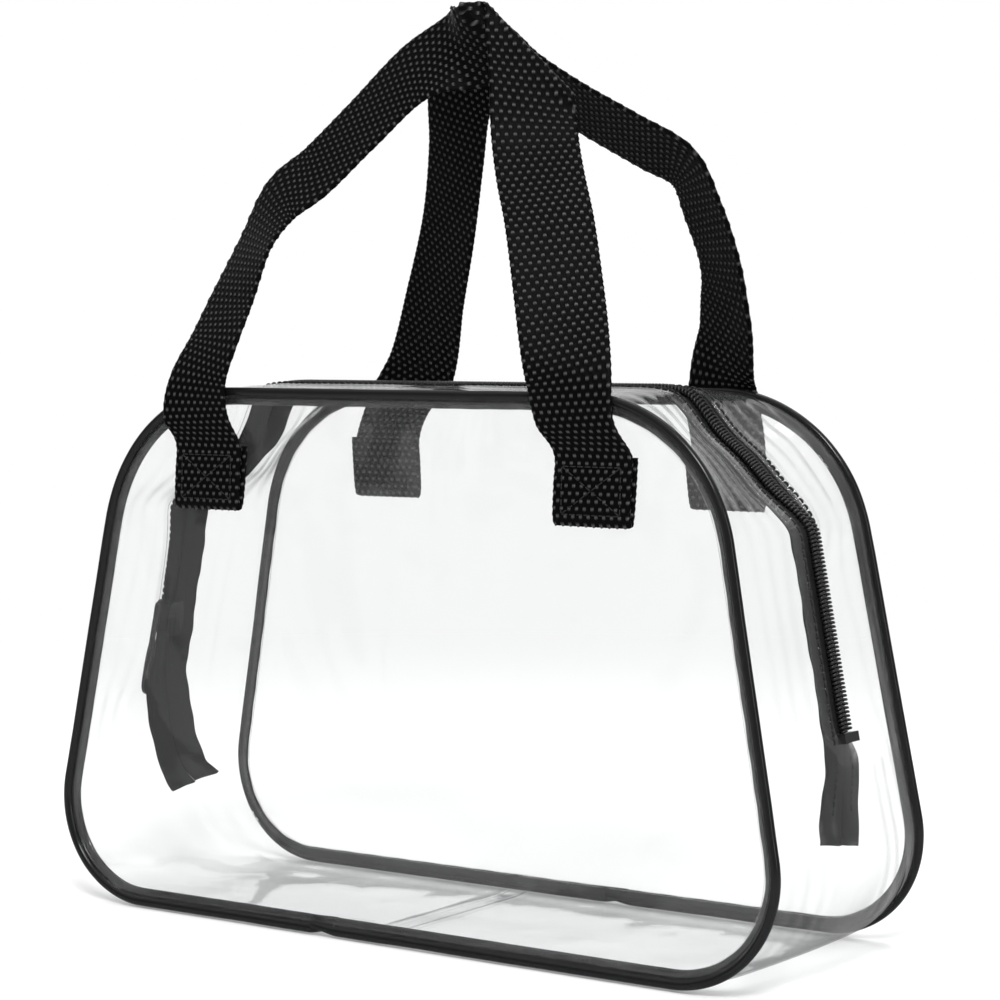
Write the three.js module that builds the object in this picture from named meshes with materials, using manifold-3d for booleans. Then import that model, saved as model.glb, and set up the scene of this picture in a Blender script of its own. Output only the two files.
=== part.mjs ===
// A clear vinyl make-up bag: two clear faces joined by a clear gusset band, black piping round both
// faces, a coil zip that arches over the top and down both ends, and two webbing carrying handles.
// Millimetres. +X runs along the bag's width, +Y towards its back and +Z up. The origin is on the
// ground under the middle of the bag.

import * as THREE from "three";
import { mergeVertices } from "three/addons/utils/BufferGeometryUtils.js";
import Module from "manifold-3d";

const wasm = await Module();
wasm.setup();

// ---------------------------------------------------------------- driving dimensions

// The body's outline, over the piping, seen from the front.
const footWidth = 300;
const shoulderWidth = 232; // where the two leaning sides would meet the top edge
const bodyHeight = 178;
const footRadius = 36;
const shoulderRadius = 55;
const cornerSteps = 9;

// The depth between the two rings of piping, at the ground and at the top edge.
const footDepth = 96;
const topDepth = 84;

// How far the middle of the gusset bows out past the piping.
const sideBow = 4.3;
const topBow = 1.8;
const shoulderDip = 9; // how far the zip sinks between the rings of piping round each shoulder

const sheet = 0.5; // thickness of the clear vinyl
const gap = 0.3; // room left between pieces that are sewn together
const pipingRadius = 1.6;
const flangeLength = 2.9; // how far the piping's flat flange reaches behind the face
const flangeTurn = 0.44; // how far the flange turns away from the face, in radians
const flangeThickness = 0.7;
const pipingJointX = -26; // where the ends of each ring of piping meet, under the bag
const seamX = -14; // the lap seam of the gusset band, under the bag
const seamLap = 9;

// The zip: its tape runs on under the vinyl past each end of the slot that shows its coils.
const tapeEndHeight = 44;
const slotEndHeight = 70;
const slotWidth = 15;
const tapeWidth = 11.5;
const tapeThickness = 0.6;
const coilWidth = 2.7;
const coilHeight = 2.2;
const coilGap = 1.2; // between the two rows of coils, where the slider's web runs
const sliderHeight = 93; // height of the slider's middle above the ground
const sliderLength = 12.5;
const pullLength = 28;

// The handles.
const webbingWidth = 28;
const webbingThickness = 1.6;
const tabFoot = 137; // bottom fold of each sewn tab
const tabTop = 161; // where the strap leaves its tab and can hinge
const frontTabX = 76; // middle of a front tab, left and right of the bag's middle
const rearTabX = 70.5;
const hingeGap = 0.6;

// ---------------------------------------------------------------- materials

const clearVinyl = new THREE.MeshStandardMaterial({
  color: 0xf4f7f8,
  roughness: 0.08,
  metalness: 0,
  transparent: true,
  opacity: 0.25,
});
const blackVinyl = new THREE.MeshStandardMaterial({ color: 0x101010, roughness: 0.3, metalness: 0 });
const tapeCloth = new THREE.MeshStandardMaterial({ color: 0x1a1a1b, roughness: 0.85, metalness: 0 });
const nylonCoil = new THREE.MeshStandardMaterial({ color: 0x0c0c0d, roughness: 0.4, metalness: 0 });
const blackMetal = new THREE.MeshStandardMaterial({ color: 0x151515, roughness: 0.35, metalness: 0.6 });
const webbing = new THREE.MeshStandardMaterial({ color: 0x0b0b0c, roughness: 0.75, metalness: 0 });
const thread = new THREE.MeshStandardMaterial({ color: 0x131313, roughness: 0.6, metalness: 0 });

// ---------------------------------------------------------------- helpers

// A closed geometry as a solid that can be joined and cut, and back again.
function solidOf(geometry) {
  const bare = geometry.clone();
  bare.deleteAttribute("normal");
  bare.deleteAttribute("uv");
  const merged = mergeVertices(bare, 1e-4);
  const vertProperties = merged.attributes.position.array;
  const triVerts = new Uint32Array(merged.index.array);
  return new wasm.Manifold(new wasm.Mesh({ numProp: 3, vertProperties, triVerts }));
}

function geometryOf(solid) {
  const mesh = solid.getMesh();
  const geometry = new THREE.BufferGeometry();
  geometry.setAttribute("position", new THREE.BufferAttribute(mesh.vertProperties, 3));
  geometry.setIndex(new THREE.BufferAttribute(mesh.triVerts, 1));
  geometry.computeVertexNormals();
  return geometry;
}

function joined(geometries) {
  return geometryOf(geometries.map(solidOf).reduce((whole, piece) => whole.add(piece)));
}

function named(name, geometry, material) {
  const mesh = new THREE.Mesh(geometry, material);
  mesh.name = name;
  return mesh;
}

function box(width, depth, height, x, y, z) {
  return new THREE.BoxGeometry(width, depth, height).translate(x, y, z);
}

function rectangle(left, bottom, right, top) {
  const corners = [[left, bottom], [right, bottom], [right, top], [left, top]];
  return new THREE.Shape(corners.map(([x, y]) => new THREE.Vector2(x, y)));
}

// ---------------------------------------------------------------- the body's outline

// A station is a point on the outline with its outward direction. Stations run anticlockwise as seen
// from the front: along the foot to the right, up, back over the top and down the left side.
const lean = Math.atan2((footWidth - shoulderWidth) / 2, bodyHeight);

function corner(side, radius, height, from, to) {
  const centre = side * (footWidth / 2 - (radius + height * Math.sin(lean)) / Math.cos(lean));
  return Array.from({ length: cornerSteps + 1 }, (_, i) => {
    const angle = from + ((to - from) * i) / cornerSteps;
    const [nx, nz] = [Math.cos(angle), Math.sin(angle)];
    return { x: centre + radius * nx, z: height + radius * nz, nx, nz };
  });
}

function onSide(side, z) {
  const x = side * (footWidth / 2 - z * Math.tan(lean));
  return { x, z, nx: side * Math.cos(lean), nz: Math.sin(lean) };
}

function onFoot(x, lift = 0) {
  return { x, z: lift, nx: 0, nz: -1 };
}

const right = 1;
const left = -1;
const quarter = Math.PI / 2;
const footCorners = [
  corner(right, footRadius, footRadius, -quarter, lean),
  corner(left, footRadius, footRadius, Math.PI - lean, 3 * quarter),
];
const shoulderCorners = [
  corner(right, shoulderRadius, bodyHeight - shoulderRadius, lean, quarter),
  corner(left, shoulderRadius, bodyHeight - shoulderRadius, quarter, Math.PI - lean),
];
const loop = [...footCorners[0], ...shoulderCorners.flat(), ...footCorners[1]];

function arch(endHeight) {
  return [onSide(right, endHeight), ...shoulderCorners.flat(), onSide(left, endHeight)];
}

// How far a point of the gusset stands out past the outline, at a distance y from the bag's middle. The
// sides and top are rounded, the shoulders sink, and the foot sags between the rings of piping to lie
// flat on the ground.
const gussetReach = footDepth / 2 - pipingRadius - gap;
const footSag = pipingRadius - sheet / 2;

function bowAt(station, y) {
  const fromEdge = 1 - Math.abs(y) / gussetReach;
  const rounded = sideBow * station.nx ** 2 + topBow * Math.max(station.nz, 0) ** 2;
  const turning = 2 * Math.abs(station.nx) * Math.max(station.nz, 0);
  const sunken = shoulderDip * THREE.MathUtils.smoothstep(turning, Math.sin(2 * lean), 1);
  const sagged = footSag * Math.min(station.nz, 0) ** 2;
  return (rounded - sunken) * fromEdge * (2 - fromEdge) + sagged * Math.min(1, 4 * fromEdge);
}

const flat = () => 0;

// Sweeps a profile along stations. The profile's x points outward from the outline, its y to the back.
function along(profile, stations, bow = flat) {
  const steps = stations.length - 1;
  const geometry = new THREE.ExtrudeGeometry(profile, { depth: 1, steps, bevelEnabled: false });
  const position = geometry.attributes.position;
  for (let i = 0; i < position.count; i += 1) {
    const station = stations[Math.round(position.getZ(i) * steps)];
    const out = position.getX(i) + bow(station, position.getY(i));
    position.setXYZ(i, station.x + station.nx * out, position.getY(i), station.z + station.nz * out);
  }
  return geometry;
}

// Draws the faces in towards each other from footDepth at the ground to topDepth at the top edge.
const drawIn = (1 - topDepth / footDepth) / bodyHeight;

function tapered(geometry) {
  const position = geometry.attributes.position;
  for (let i = 0; i < position.count; i += 1) {
    position.setY(i, position.getY(i) * (1 - drawIn * position.getZ(i)));
  }
  return geometry;
}

const seamPlane = (z) => (footDepth / 2) * (1 - drawIn * z);

// ---------------------------------------------------------------- faces, gusset and piping

// Builds a piece for the front of the bag. The back one is the same piece seen from behind.
function facePanel() {
  const inset = 2 * pipingRadius + gap;
  const edge = loop.map((s) => new THREE.Vector2(s.x - inset * s.nx, s.z - inset * s.nz));
  const shape = new THREE.Shape(edge);
  const geometry = new THREE.ExtrudeGeometry(shape, { depth: sheet, bevelEnabled: false });
  return tapered(geometry.rotateX(quarter).translate(0, sheet / 2 - footDepth / 2, 0));
}

// A round bulb whose flat flange reaches inward, just behind the edge of the face.
function pipingProfile() {
  const halfNeck = Math.asin(flangeThickness / 2 / pipingRadius);
  const flangeAngle = Math.PI - flangeTurn;
  const profile = new THREE.Shape();
  const last = flangeAngle - halfNeck + 2 * Math.PI;
  profile.absarc(0, 0, pipingRadius, flangeAngle + halfNeck, last, false);
  const reach = pipingRadius + flangeLength;
  for (const side of [1, -1]) {
    const x = reach * Math.cos(flangeAngle) + ((side * flangeThickness) / 2) * Math.sin(flangeAngle);
    const y = reach * Math.sin(flangeAngle) - ((side * flangeThickness) / 2) * Math.cos(flangeAngle);
    profile.lineTo(x, y);
  }
  const points = profile.getPoints(5);
  return new THREE.Shape(points.map((p) => new THREE.Vector2(p.x - pipingRadius, p.y - footDepth / 2)));
}

function piping() {
  const start = onFoot(pipingJointX + gap);
  const end = onFoot(pipingJointX - gap);
  return tapered(along(pipingProfile(), [start, ...loop, end]));
}

// A flat strip from one side to the other, with points between so that it can bow.
function strip(inner, outer, reach, columns) {
  const across = Array.from({ length: columns + 1 }, (_, i) => -reach + (2 * reach * i) / columns);
  const outerEdge = across.map((y) => new THREE.Vector2(outer, y));
  const innerEdge = across.map((y) => new THREE.Vector2(inner, y)).reverse();
  return new THREE.Shape([...outerEdge, ...innerEdge]);
}

function gussetBand() {
  const profile = strip(-pipingRadius - sheet / 2, -pipingRadius + sheet / 2, gussetReach, 8);
  const lift = sheet + gap;
  const lap = [onFoot(seamX - 5), onFoot(seamX - 1, lift), onFoot(seamX + seamLap, lift)];
  const band = tapered(along(profile, [onFoot(seamX), ...loop, ...lap], bowAt));
  const cutter = rectangle(-4 * pipingRadius, -slotWidth / 2, pipingRadius, slotWidth / 2);
  return geometryOf(solidOf(band).subtract(solidOf(along(cutter, arch(slotEndHeight), bowAt))));
}

// ---------------------------------------------------------------- the zip

const tapeOuter = -pipingRadius - sheet / 2 - gap; // the tape lies just inside the gusset band
const coilFoot = tapeOuter + gap / 2;
const coilInset = 4; // the coils end this far above the end of the slot
const stopHeight = 3;

function zipTape() {
  const outer = -coilGap / 2;
  const profile = rectangle(tapeOuter - tapeThickness, outer - tapeWidth, tapeOuter, outer);
  return along(profile, arch(tapeEndHeight), bowAt);
}

function zipCoil() {
  const outer = -coilGap / 2;
  const profile = rectangle(coilFoot, outer - coilWidth, coilFoot + coilHeight, outer);
  return along(profile, arch(slotEndHeight + coilInset), bowAt);
}

// A bar crimped over both rows of coils where they end.
function zipStop(side) {
  const width = 2 * coilWidth + coilGap + 2.4;
  const seat = onSide(side, slotEndHeight + coilInset - gap - stopHeight / 2);
  const bar = box(coilHeight + 0.6, width, stopHeight, 0, 0, 0);
  const out = coilFoot + (coilHeight + 0.6) / 2 + bowAt(seat, 0);
  return bar.rotateY(-side * lean).translate(seat.x + seat.nx * out, 0, seat.z + seat.nz * out);
}

// One line of thread that runs round the slot and holds the vinyl to the tapes.
function slotStitching() {
  const under = -pipingRadius + sheet / 2 + gap / 2;
  const outer = slotWidth / 2 + 3;
  const inner = outer - 0.8;
  const ring = along(strip(under, under + 0.4, outer, 6), arch(slotEndHeight - 8), bowAt);
  const middle = rectangle(under - 1, -inner, under + 1.4, inner);
  const cutter = along(middle, arch(slotEndHeight - 7.2), bowAt);
  return geometryOf(solidOf(ring).subtract(solidOf(cutter)));
}

// The slider in its own frame: x out of the bag, y across the zip and z down the side of the bag.
const topPlate = { under: coilFoot + coilHeight + gap, thickness: 1.4 };
topPlate.over = topPlate.under + topPlate.thickness;
const underPlate = { over: tapeOuter - tapeThickness - gap, thickness: 1.1 };
const bridge = { opening: 2.4, bar: 1, halfLength: 3.4, foot: 1.2, width: 2.4 };
const pullAxis = { x: topPlate.over + bridge.opening / 2, z: 2.2 };
const [xAxis, yAxis, zAxis] = [[1, 0, 0], [0, 1, 0], [0, 0, 1]].map((v) => new THREE.Vector3(...v));

// A shape drawn across (y) and down (z), with its thickness pointing out of the bag (x).
function plate(shape, from, thickness) {
  const options = { depth: thickness, bevelEnabled: false, curveSegments: 4 };
  const geometry = new THREE.ExtrudeGeometry(shape, options);
  const turned = new THREE.Matrix4().makeBasis(yAxis, zAxis, xAxis);
  return geometry.applyMatrix4(turned).translate(from, 0, 0);
}

// Narrow at the closed end of the zip and wide at its mouth.
function sliderShape(narrow, wide) {
  const [top, foot] = [-sliderLength / 2, sliderLength / 2];
  const shape = new THREE.Shape();
  shape.moveTo(-narrow, top + 1);
  shape.quadraticCurveTo(-narrow, top, -narrow + 1.2, top);
  shape.lineTo(narrow - 1.2, top);
  shape.quadraticCurveTo(narrow, top, narrow, top + 1);
  shape.lineTo(wide, foot - 5);
  shape.quadraticCurveTo(wide, foot, wide - 2.4, foot);
  shape.lineTo(2.4 - wide, foot);
  shape.quadraticCurveTo(-wide, foot, -wide, foot - 5);
  return shape;
}

function bridgeShape() {
  const { opening, bar, halfLength, foot } = bridge;
  const reach = halfLength + foot;
  const base = topPlate.over - 0.4;
  const shape = new THREE.Shape();
  shape.moveTo(-reach, base);
  shape.lineTo(-reach, base + opening - 0.4);
  const crown = topPlate.over + opening + bar;
  shape.quadraticCurveTo(-reach, crown, -reach + 2, crown);
  shape.lineTo(reach - 2, crown);
  shape.quadraticCurveTo(reach, crown, reach, base + opening - 0.4);
  shape.lineTo(reach, base);
  shape.lineTo(halfLength, base);
  shape.lineTo(halfLength, topPlate.over + opening);
  shape.lineTo(-halfLength, topPlate.over + opening);
  shape.lineTo(-halfLength, base);
  return shape;
}

function sliderBody() {
  const top = plate(sliderShape(3.9, 5), topPlate.under, topPlate.thickness);
  const underFrom = underPlate.over - underPlate.thickness;
  const under = plate(sliderShape(3.7, 4.8), underFrom, underPlate.thickness);
  const webHeight = topPlate.under - underPlate.over + 0.8;
  const webMiddle = (topPlate.under + underPlate.over) / 2;
  const web = box(webHeight, coilGap / 2, 4, webMiddle, 0, sliderLength / 2 - 3);
  const rim = coilHeight * 0.6 + 0.4;
  const rimX = topPlate.under - rim / 2 + 0.4;
  const rimY = coilGap / 2 + coilWidth + 0.7;
  const rims = [-rimY, rimY].map((y) => box(rim, 0.8, sliderLength - 5, rimX, y, -1));
  const options = { depth: bridge.width, bevelEnabled: false, curveSegments: 4 };
  const arm = new THREE.ExtrudeGeometry(bridgeShape(), options);
  const turned = new THREE.Matrix4().makeBasis(zAxis, xAxis, yAxis);
  arm.applyMatrix4(turned).translate(0, -bridge.width / 2, 0);
  return joined([top, under, web, ...rims, arm]);
}

function pullTab() {
  const halfThickness = 0.7;
  const shape = new THREE.Shape();
  shape.moveTo(-3, -0.8);
  shape.lineTo(3, -0.8);
  shape.lineTo(3.4, 9);
  shape.quadraticCurveTo(4.4, 12, 4.4, pullLength - 5);
  shape.quadraticCurveTo(4.4, pullLength, 0, pullLength);
  shape.quadraticCurveTo(-4.4, pullLength, -4.4, pullLength - 5);
  shape.quadraticCurveTo(-4.4, 12, -3.4, 9);
  const windowReach = bridge.halfLength + bridge.foot + pullAxis.z + 0.6;
  shape.holes.push(rectangle(-1.8, 0.8, 1.8, windowReach));
  const eye = new THREE.Path();
  eye.absellipse(0, pullLength - 8, 1.9, 4, 0, 2 * Math.PI, true);
  shape.holes.push(eye);
  return plate(shape, pullAxis.x - halfThickness, 2 * halfThickness).translate(0, 0, pullAxis.z);
}

// ---------------------------------------------------------------- the handles

// Each leg of a strap rises from its tab and leans in over the bag to a peak above its middle. A point
// has the strap's middle and the direction from its left edge to its right edge, for the front handle.
const strapY = -(seamPlane(tabTop) + sheet / 2 + 0.1 + 1.5 * webbingThickness + 0.1);
const edgeY = strapY - 0.9; // where a strap passes the piping
const strapFoot = tabTop + hingeGap;

const frontStrap = [
  { at: [-frontTabX, strapY, strapFoot], across: [1, 0, 0] },
  { at: [-80, edgeY, 170], across: [1, 0, 0] },
  { at: [-81, edgeY, 181], across: [0.99, -0.12, 0] },
  { at: [-78.5, -40, 193], across: [0.93, -0.36, 0] },
  { at: [-77, -33, 207], across: [0.88, -0.48, 0] },
  { at: [-72, -25.5, 228], across: [0.84, -0.52, -0.16] },
  { at: [-64, -22, 241], across: [0.8, -0.42, -0.4] },
  { at: [-51, -19.5, 249], across: [0.78, -0.4, -0.44] },
  { at: [-34, -16, 263], across: [0.78, -0.4, -0.44] },
  { at: [-14, -13, 279], across: [0.74, -0.36, -0.58] },
  { at: [2, -10.5, 289], across: [0.46, -0.36, -0.82] },
  { at: [12, -9.5, 290], across: [-0.2, -0.4, -0.9] },
  { at: [24, -13.5, 279], across: [-0.72, -0.5, -0.4] },
  { at: [37, -19, 259], across: [-0.82, -0.5, -0.26] },
  { at: [48, -27, 231], across: [-0.84, -0.46, -0.18] },
  { at: [57.5, -35.5, 207], across: [-0.88, -0.4, -0.18] },
  { at: [67.5, edgeY, 184], across: [-0.99, -0.06, -0.1] },
  { at: [73, edgeY, 171], across: [-1, 0, 0] },
  { at: [frontTabX, strapY, strapFoot], across: [-1, 0, 0] },
];

// The rear handle, drawn as if it were the front one and then turned half way round.
const rearStrap = [
  { at: [-rearTabX, strapY, strapFoot], across: [1, 0, 0] },
  { at: [-69, edgeY, 170], across: [1, 0, 0] },
  { at: [-69, edgeY, 181], across: [0.98, -0.2, 0] },
  { at: [-73, -40, 193], across: [0.9, -0.42, 0] },
  { at: [-76.5, -33, 207], across: [0.86, -0.5, 0] },
  { at: [-76.5, -29.5, 219], across: [0.84, -0.54, 0] },
  { at: [-73, -25, 235], across: [0.8, -0.58, -0.16] },
  { at: [-68, -21, 249], across: [0.66, -0.66, -0.36] },
  { at: [-53, -17.5, 258], across: [0.39, -0.73, -0.56] },
  { at: [-35, -15, 268], across: [0.39, -0.73, -0.56] },
  { at: [-17, -12.5, 279], across: [0.39, -0.7, -0.6] },
  { at: [-3, -10.5, 287], across: [0.3, -0.5, -0.8] },
  { at: [7, -9.5, 287], across: [-0.2, -0.3, -0.9] },
  { at: [15, -13, 276], across: [-0.8, 0, -0.4] },
  { at: [21, -19, 257], across: [-0.94, 0.2, -0.26] },
  { at: [30, -27, 232], across: [-0.96, 0.26, -0.2] },
  { at: [41, -35, 210], across: [-0.97, 0.2, -0.16] },
  { at: [55, edgeY, 183], across: [-0.99, 0.02, -0.12] },
  { at: [64, edgeY, 171], across: [-1, 0, 0] },
  { at: [rearTabX, strapY, strapFoot], across: [-1, 0, 0] },
];

// Bends a flat length of webbing along the strap's middle line. Near its tabs the webbing shears rather
// than turns, so that its ends stay level with the tabs.
function strap(points) {
  const steps = 3 * (points.length - 1);
  const shearHeight = 30;
  const middle = new THREE.CatmullRomCurve3(points.map((p) => new THREE.Vector3(...p.at)));
  const across = new THREE.CatmullRomCurve3(points.map((p) => new THREE.Vector3(...p.across)));
  const geometry = new THREE.BoxGeometry(webbingWidth, webbingThickness, 1, 1, 1, steps);
  const position = geometry.attributes.position;
  for (let i = 0; i < position.count; i += 1) {
    const t = THREE.MathUtils.clamp(position.getZ(i) + 0.5, 0, 1);
    const point = middle.getPoint(t);
    const direction = middle.getTangent(t);
    const side = across.getPoint(t);
    const turn = THREE.MathUtils.smoothstep(point.z, strapFoot, strapFoot + shearHeight);
    side.addScaledVector(direction, -turn * side.dot(direction)).normalize();
    const face = t === 0 || t === 1 ? yAxis.clone() : direction.clone().cross(side).normalize();
    point.addScaledVector(side, position.getX(i)).addScaledVector(face, position.getY(i));
    position.setXYZ(i, point.x, point.y, point.z);
  }
  return geometry;
}

// The end of the strap is folded under and lies double against the face, with the fold at the foot.
function tab() {
  const slit = 0.2;
  const layers = 2 * webbingThickness + slit;
  const height = tabTop - tabFoot;
  const profile = new THREE.Shape();
  profile.moveTo(0, height - 2);
  profile.lineTo(0, layers / 2);
  profile.absarc(layers / 2, layers / 2, layers / 2, Math.PI, 2 * Math.PI, false);
  profile.lineTo(layers, height);
  profile.lineTo(layers - webbingThickness, height);
  profile.lineTo(layers - webbingThickness, layers / 2);
  profile.lineTo(webbingThickness, layers / 2);
  profile.lineTo(webbingThickness, height - 2);
  const geometry = new THREE.ExtrudeGeometry(profile, {
    depth: webbingWidth,
    bevelEnabled: false,
    curveSegments: 4,
  });
  // The profile's x runs out from the face and its y up.
  const out = new THREE.Vector3(0, -1, 0);
  return geometry.applyMatrix4(new THREE.Matrix4().makeBasis(out, zAxis, xAxis.clone().negate()))
    .translate(webbingWidth / 2, 0, 0);
}

// A box of stitching with a cross in it, as one run of thread lying on the tab.
function boxStitch() {
  const [halfWidth, height, line] = [11, 15, 0.9];
  const shape = rectangle(-halfWidth, 0, halfWidth, height);
  const [innerX, innerZ] = [halfWidth - line, height - line];
  const middle = new THREE.Vector2(0, height / 2);
  const insideCorners = [[-innerX, line], [innerX, line], [innerX, innerZ], [-innerX, innerZ]];
  insideCorners.forEach(([x, z], i) => {
    const [nextX, nextZ] = insideCorners[(i + 1) % 4];
    const triangle = [new THREE.Vector2(x, z), new THREE.Vector2(nextX, nextZ), middle];
    const centre = triangle.reduce((sum, p) => sum.add(p), new THREE.Vector2()).divideScalar(3);
    shape.holes.push(new THREE.Path(triangle.map((p) => p.clone().lerp(centre, 0.22))));
  });
  return new THREE.ExtrudeGeometry(shape, { depth: 0.35, bevelEnabled: false }).rotateX(quarter);
}

// One handle with its two tabs, for the front of the bag.
function handle(place, tabX, points) {
  const group = new THREE.Group();
  const onFace = new THREE.Group();
  onFace.position.set(0, -(seamPlane(tabFoot) + sheet / 2 + 0.1), tabFoot);
  onFace.rotation.x = -Math.atan((footDepth / 2) * drawIn);
  const names = place === "front" ? ["left", "right"] : ["right", "left"];
  [left, right].forEach((side, i) => {
    const piece = named(`${place}_${names[i]}_handle_tab`, tab(), webbing);
    const stitches = named(`${place}_${names[i]}_tab_stitching`, boxStitch(), thread);
    piece.position.x = side * tabX;
    stitches.position.set(side * tabX, -(2 * webbingThickness + 0.2 + 0.1), 3.4);
    onFace.add(piece, stitches);
  });
  group.add(onFace, named(`${place}_handle_strap`, strap(points), webbing));
  return group;
}

// ---------------------------------------------------------------- assembly

const turnedRound = (object) => {
  object.rotation.z = Math.PI;
  return object;
};

const bag = new THREE.Group();
bag.add(
  named("front_panel", facePanel(), clearVinyl),
  turnedRound(named("rear_panel", facePanel(), clearVinyl)),
  named("gusset_band", gussetBand(), clearVinyl),
  named("front_piping", piping(), blackVinyl),
  turnedRound(named("rear_piping", piping(), blackVinyl)),
  named("front_zip_tape", zipTape(), tapeCloth),
  turnedRound(named("rear_zip_tape", zipTape(), tapeCloth)),
  named("front_zip_coil", zipCoil(), nylonCoil),
  turnedRound(named("rear_zip_coil", zipCoil(), nylonCoil)),
  named("zip_stitching", slotStitching(), thread),
  named("left_zip_stop", zipStop(left), blackMetal),
  named("right_zip_stop", zipStop(right), blackMetal),
);

const seat = onSide(left, sliderHeight);
const seatBow = bowAt(seat, 0);
const slider = new THREE.Group();
slider.position.set(seat.x + seat.nx * seatBow, 0, seat.z + seat.nz * seatBow);
slider.rotation.y = Math.PI + lean;
slider.add(named("zip_slider", sliderBody(), blackMetal), named("zip_pull_tab", pullTab(), blackMetal));

const frontHandle = handle("front", frontTabX, frontStrap);
const rearHandle = turnedRound(handle("rear", rearTabX, rearStrap));
bag.add(slider, frontHandle, rearHandle);

export default bag;
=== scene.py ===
"""The looks of the clear make-up bag: vinyl sheets, piping, zip and webbing built around the CAD frame.

Shapes are worked out in millimetres and turned to metres as each mesh is made. +X runs along the bag's
width, +Y towards its back and +Z up.
"""

import math

import bmesh
import bpy
import numpy as np
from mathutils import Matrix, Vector

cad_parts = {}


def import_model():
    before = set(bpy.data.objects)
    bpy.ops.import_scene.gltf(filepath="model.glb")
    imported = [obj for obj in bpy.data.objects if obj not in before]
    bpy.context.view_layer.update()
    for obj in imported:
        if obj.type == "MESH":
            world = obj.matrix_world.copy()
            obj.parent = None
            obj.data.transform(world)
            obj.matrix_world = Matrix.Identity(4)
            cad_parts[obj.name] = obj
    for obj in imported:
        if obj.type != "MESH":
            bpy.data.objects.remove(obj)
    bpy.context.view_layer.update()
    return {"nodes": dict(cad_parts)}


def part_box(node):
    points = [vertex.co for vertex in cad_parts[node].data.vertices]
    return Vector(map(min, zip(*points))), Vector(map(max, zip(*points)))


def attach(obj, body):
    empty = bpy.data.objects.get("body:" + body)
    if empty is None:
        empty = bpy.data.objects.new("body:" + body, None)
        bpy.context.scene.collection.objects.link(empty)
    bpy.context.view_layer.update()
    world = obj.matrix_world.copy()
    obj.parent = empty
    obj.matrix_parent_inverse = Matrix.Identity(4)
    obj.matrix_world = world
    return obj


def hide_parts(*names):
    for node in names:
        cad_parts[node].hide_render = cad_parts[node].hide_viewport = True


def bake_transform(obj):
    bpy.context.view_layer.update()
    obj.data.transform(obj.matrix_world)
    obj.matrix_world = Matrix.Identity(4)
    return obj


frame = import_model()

MM = 0.001
QUARTER = math.pi / 2

# ---------------------------------------------------------------- driving dimensions, in millimetres

# The outline over the piping, seen from the front.
FOOT_WIDTH = 300
SHOULDER_WIDTH = 232
BODY_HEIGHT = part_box("front_piping")[1].z / MM
FOOT_RADIUS = 36
SHOULDER_RADIUS = 55
FOOT_DEPTH = 96
TOP_DEPTH = 84
SIDE_BOW = 4.3
TOP_BOW = 1.8
RIGHT_DIP = 9  # how far the zip sinks between the rings of piping round each shoulder
LEFT_DIP = 15
RIGHT_VALLEY = 9.5  # how far the rear flank of the zip falls inward on the right side
LEFT_VALLEY = 4  # and its front flank on the left side

SHEET = 0.5
PIPING_RADIUS = 1.6
FLANGE_LENGTH = 2.9
FLANGE_TURN = 0.44  # radians that the flange turns away from the face
FLANGE_THICKNESS = 0.7
PIPING_JOINT_X = -26
SEAM_X = -14
SEAM_LAP = 9

# The zip.
SLOT_WIDTH = 15
SLOT_END = 70  # height of both ends of the slot
HEM_WIDTH = 4.6
TAPE_WIDTH = 11.5  # of each half
TAPE_THICKNESS = 0.6
TAPE_RIGHT_END = 40  # heights of the tape's cut ends
TAPE_LEFT_END = 33
TAPE_RIGHT_FALL = 9  # how far each end hangs away from the gusset
TAPE_LEFT_FALL = 20
COIL_PITCH = 1.25
COIL_WIRE = 0.44
COIL_REACH = 3.3
STITCH_LINE = SLOT_WIDTH / 2 + 1.2
STITCH_LENGTH = 1.7
STITCH_STEP = 2.5

# The handles.
WEBBING_WIDTH = 28
WEBBING_CORE = 1.1  # thickness between the yarns' relief
YARN_RELIEF = 0.42
WARP_COLUMNS = 20  # yarns across the webbing
WEFT_STEP = 2.3  # length of webbing to each yarn across it
TAB_FOOT = 137
TAB_TOP = 161
FRONT_TAB_X = 76.5
REAR_TAB_X = 70.5

LEAN = math.atan2((FOOT_WIDTH - SHOULDER_WIDTH) / 2, BODY_HEIGHT)
DRAW_IN = (1 - TOP_DEPTH / FOOT_DEPTH) / BODY_HEIGHT
GUSSET_REACH = FOOT_DEPTH / 2 - PIPING_RADIUS - 0.3
FOOT_SAG = PIPING_RADIUS - SHEET / 2
TAPE_OUT = -PIPING_RADIUS - SHEET / 2 - 0.3 - TAPE_THICKNESS / 2
COIL_OUT = TAPE_OUT + TAPE_THICKNESS / 2 + 0.15 + 1.1


# ---------------------------------------------------------------- the outline


def corner_walk(side, radius, height, start, end):
    """Round corner of the outline: rows of x, z and the angle of the outward normal."""
    reach = (radius + height * math.sin(LEAN)) / math.cos(LEAN)
    centre = side * (FOOT_WIDTH / 2 - reach)
    angle = np.linspace(start, end, 60)
    return np.stack([centre + radius * np.cos(angle), height + radius * np.sin(angle), angle], 1)


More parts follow.
